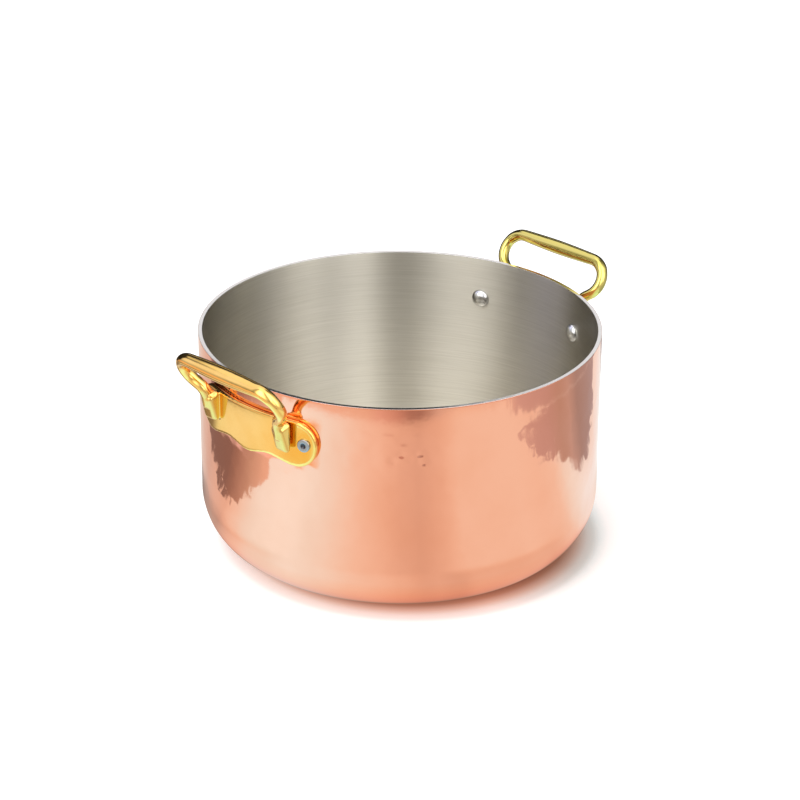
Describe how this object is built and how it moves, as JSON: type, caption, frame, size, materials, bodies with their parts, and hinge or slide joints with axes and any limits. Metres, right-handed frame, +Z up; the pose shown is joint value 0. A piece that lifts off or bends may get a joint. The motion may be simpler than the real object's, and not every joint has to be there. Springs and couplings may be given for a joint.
{
  "type": "copper casserole pot",
  "caption": "Deep straight-sided casserole pot in copper-clad steel, open at the top, with cast brass loop handles riveted on opposite sides.",
  "frame": {"origin": "centre of the base's flat underside", "axes": "+Z up out of the mouth, +X through the middle of one handle, +Y completes a right-handed frame"},
  "size_m": [0.2964, 0.245, 0.1559],
  "materials": {
    "copper": "polished copper, lightly hammered",
    "aluminium": "turned edge",
    "steel": "brushed round the wall",
    "brass": "cast and polished",
    "rivet_metal": "formed steel heads"
  },
  "bodies": {
    "root": {"copper_shell": "copper", "aluminium_core": "aluminium", "steel_liner": "steel", "handle_left": "brass", "handle_right": "brass", "rivet_left_front": "rivet_metal", "rivet_left_rear": "rivet_metal", "rivet_right_front": "rivet_metal", "rivet_right_rear": "rivet_metal"}
  },
  "joints": []
}
